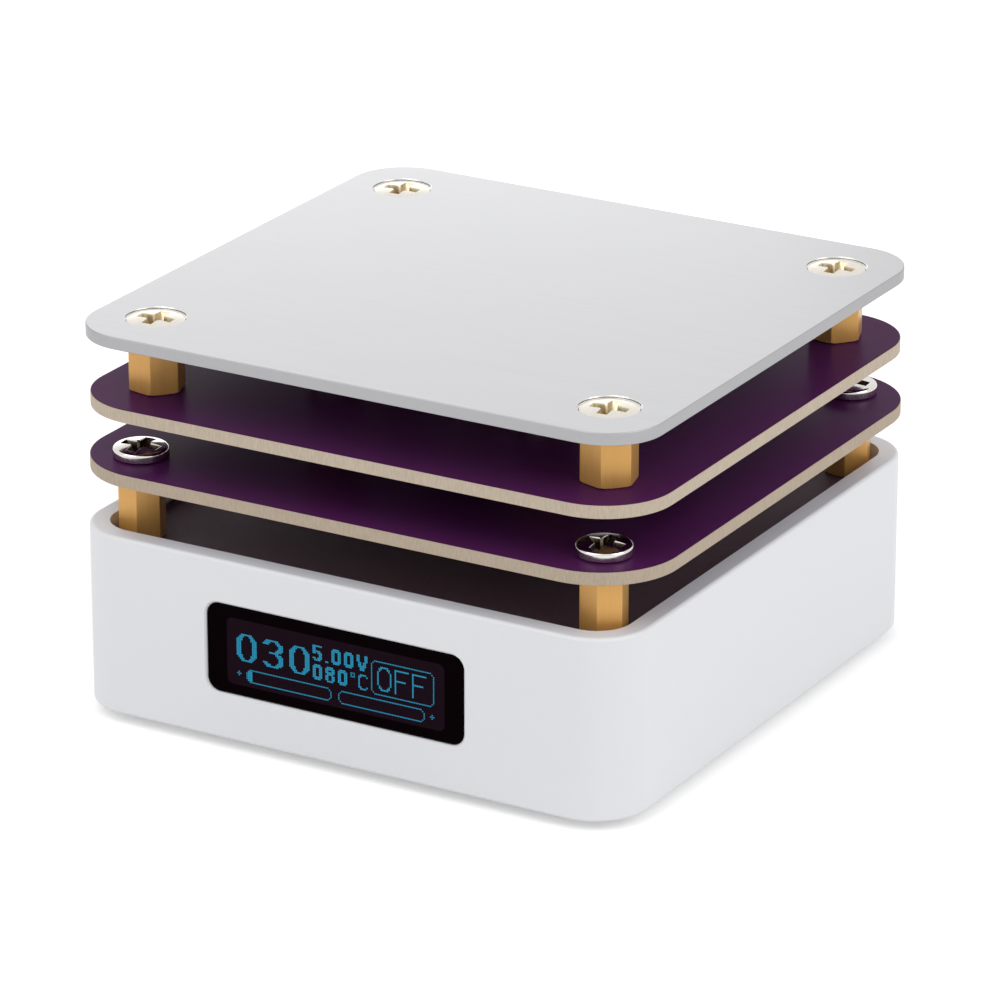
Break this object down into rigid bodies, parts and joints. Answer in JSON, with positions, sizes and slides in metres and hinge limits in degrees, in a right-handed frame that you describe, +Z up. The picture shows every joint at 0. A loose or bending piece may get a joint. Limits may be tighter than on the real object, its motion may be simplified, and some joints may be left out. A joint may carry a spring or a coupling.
{
  "type": "pcb preheater",
  "caption": "Small square hot plate for preheating circuit boards: a bare metal plate on brass standoffs over two boards and a white casing with a display.",
  "frame": {"origin": "under the middle of the part, on the surface that its feet stand on", "axes": "+Z up, -Y to the front with the display, +X to the right"},
  "size_m": [0.0644, 0.0628, 0.0402],
  "materials": {
    "plate": "bare aluminium, very finely brushed",
    "nickel": "nickel-plated steel",
    "brass": "bright turned brass",
    "purple_board": "deep purple solder resist over glass-fibre board with pale bare edges",
    "deck": "charcoal fibre board",
    "casing_white": "satin white moulding",
    "window": "gloss black acrylic",
    "display_glass": "display glass",
    "amber_film": "amber film",
    "button_grey": "grey moulding",
    "black_plastic": "black component plastic",
    "socket_steel": "drawn steel shell",
    "green_board": "green solder resist",
    "heater_ceramic": "pale heater ceramic",
    "lead_sleeve": "red silicone sleeve",
    "connector_white": "white connector plastic",
    "foot_rubber": "black rubber"
  },
  "bodies": {
    "body": {"heating_plate": "plate", "plate_screw_front_left": "nickel", "plate_screw_front_right": "nickel", "plate_screw_back_right": "nickel", "plate_screw_back_left": "nickel", "inner_screw_front_left": "nickel", "inner_screw_front_right": "nickel", "inner_screw_back_right": "nickel", "inner_screw_back_left": "nickel", "lower_screw_front_left": "nickel", "lower_screw_front_right": "nickel", "lower_screw_back_right": "nickel", "lower_screw_back_left": "nickel", "base_screw_front_left": "nickel", "base_screw_front_right": "nickel", "base_screw_back_right": "nickel", "base_screw_back_left": "nickel", "controller_screw_front": "nickel", "controller_screw_back": "nickel", "upper_standoff_front_left": "brass", "upper_standoff_front_right": "brass", "upper_standoff_back_right": "brass", "upper_standoff_back_left": "brass", "inner_standoff_front_left": "brass", "inner_standoff_front_right": "brass", "inner_standoff_back_right": "brass", "inner_standoff_back_left": "brass", "lower_standoff_front_left": "brass", "lower_standoff_front_right": "brass", "lower_standoff_back_right": "brass", "lower_standoff_back_left": "brass", "upper_board": "purple_board", "lower_board": "purple_board", "insulation_deck": "deck", "casing": "casing_white", "base_cover": "casing_white", "display_window": "window", "display_panel": "display_glass", "display_flex": "amber_film", "temperature_sensor": "amber_film", "switch_body_front": "black_plastic", "switch_body_back": "black_plastic", "microcontroller": "black_plastic", "power_transistor": "black_plastic", "inductor": "black_plastic", "power_socket": "socket_steel", "controller_board": "green_board", "heater": "heater_ceramic", "heater_lead_left": "lead_sleeve", "heater_lead_right": "lead_sleeve", "sensor_lead": "lead_sleeve", "lead_connector": "connector_white", "foot_front_left": "foot_rubber", "foot_front_right": "foot_rubber", "foot_back_right": "foot_rubber", "foot_back_left": "foot_rubber"},
    "button_front": {"button_cap_front": "button_grey", "switch_plunger_front": "black_plastic"},
    "button_back": {"button_cap_back": "button_grey", "switch_plunger_back": "black_plastic"}
  },
  "joints": [
    {"name": "button_front_press", "type": "slide", "parent": "body", "child": "button_front", "axis": [1, 0, 0], "range_m": [0, 0.00025], "stiffness_N_per_m": 400, "springref_m": -0.001},
    {"name": "button_back_press", "type": "slide", "parent": "body", "child": "button_back", "axis": [1, 0, 0], "range_m": [0, 0.00025], "stiffness_N_per_m": 400, "springref_m": -0.001}
  ]
}
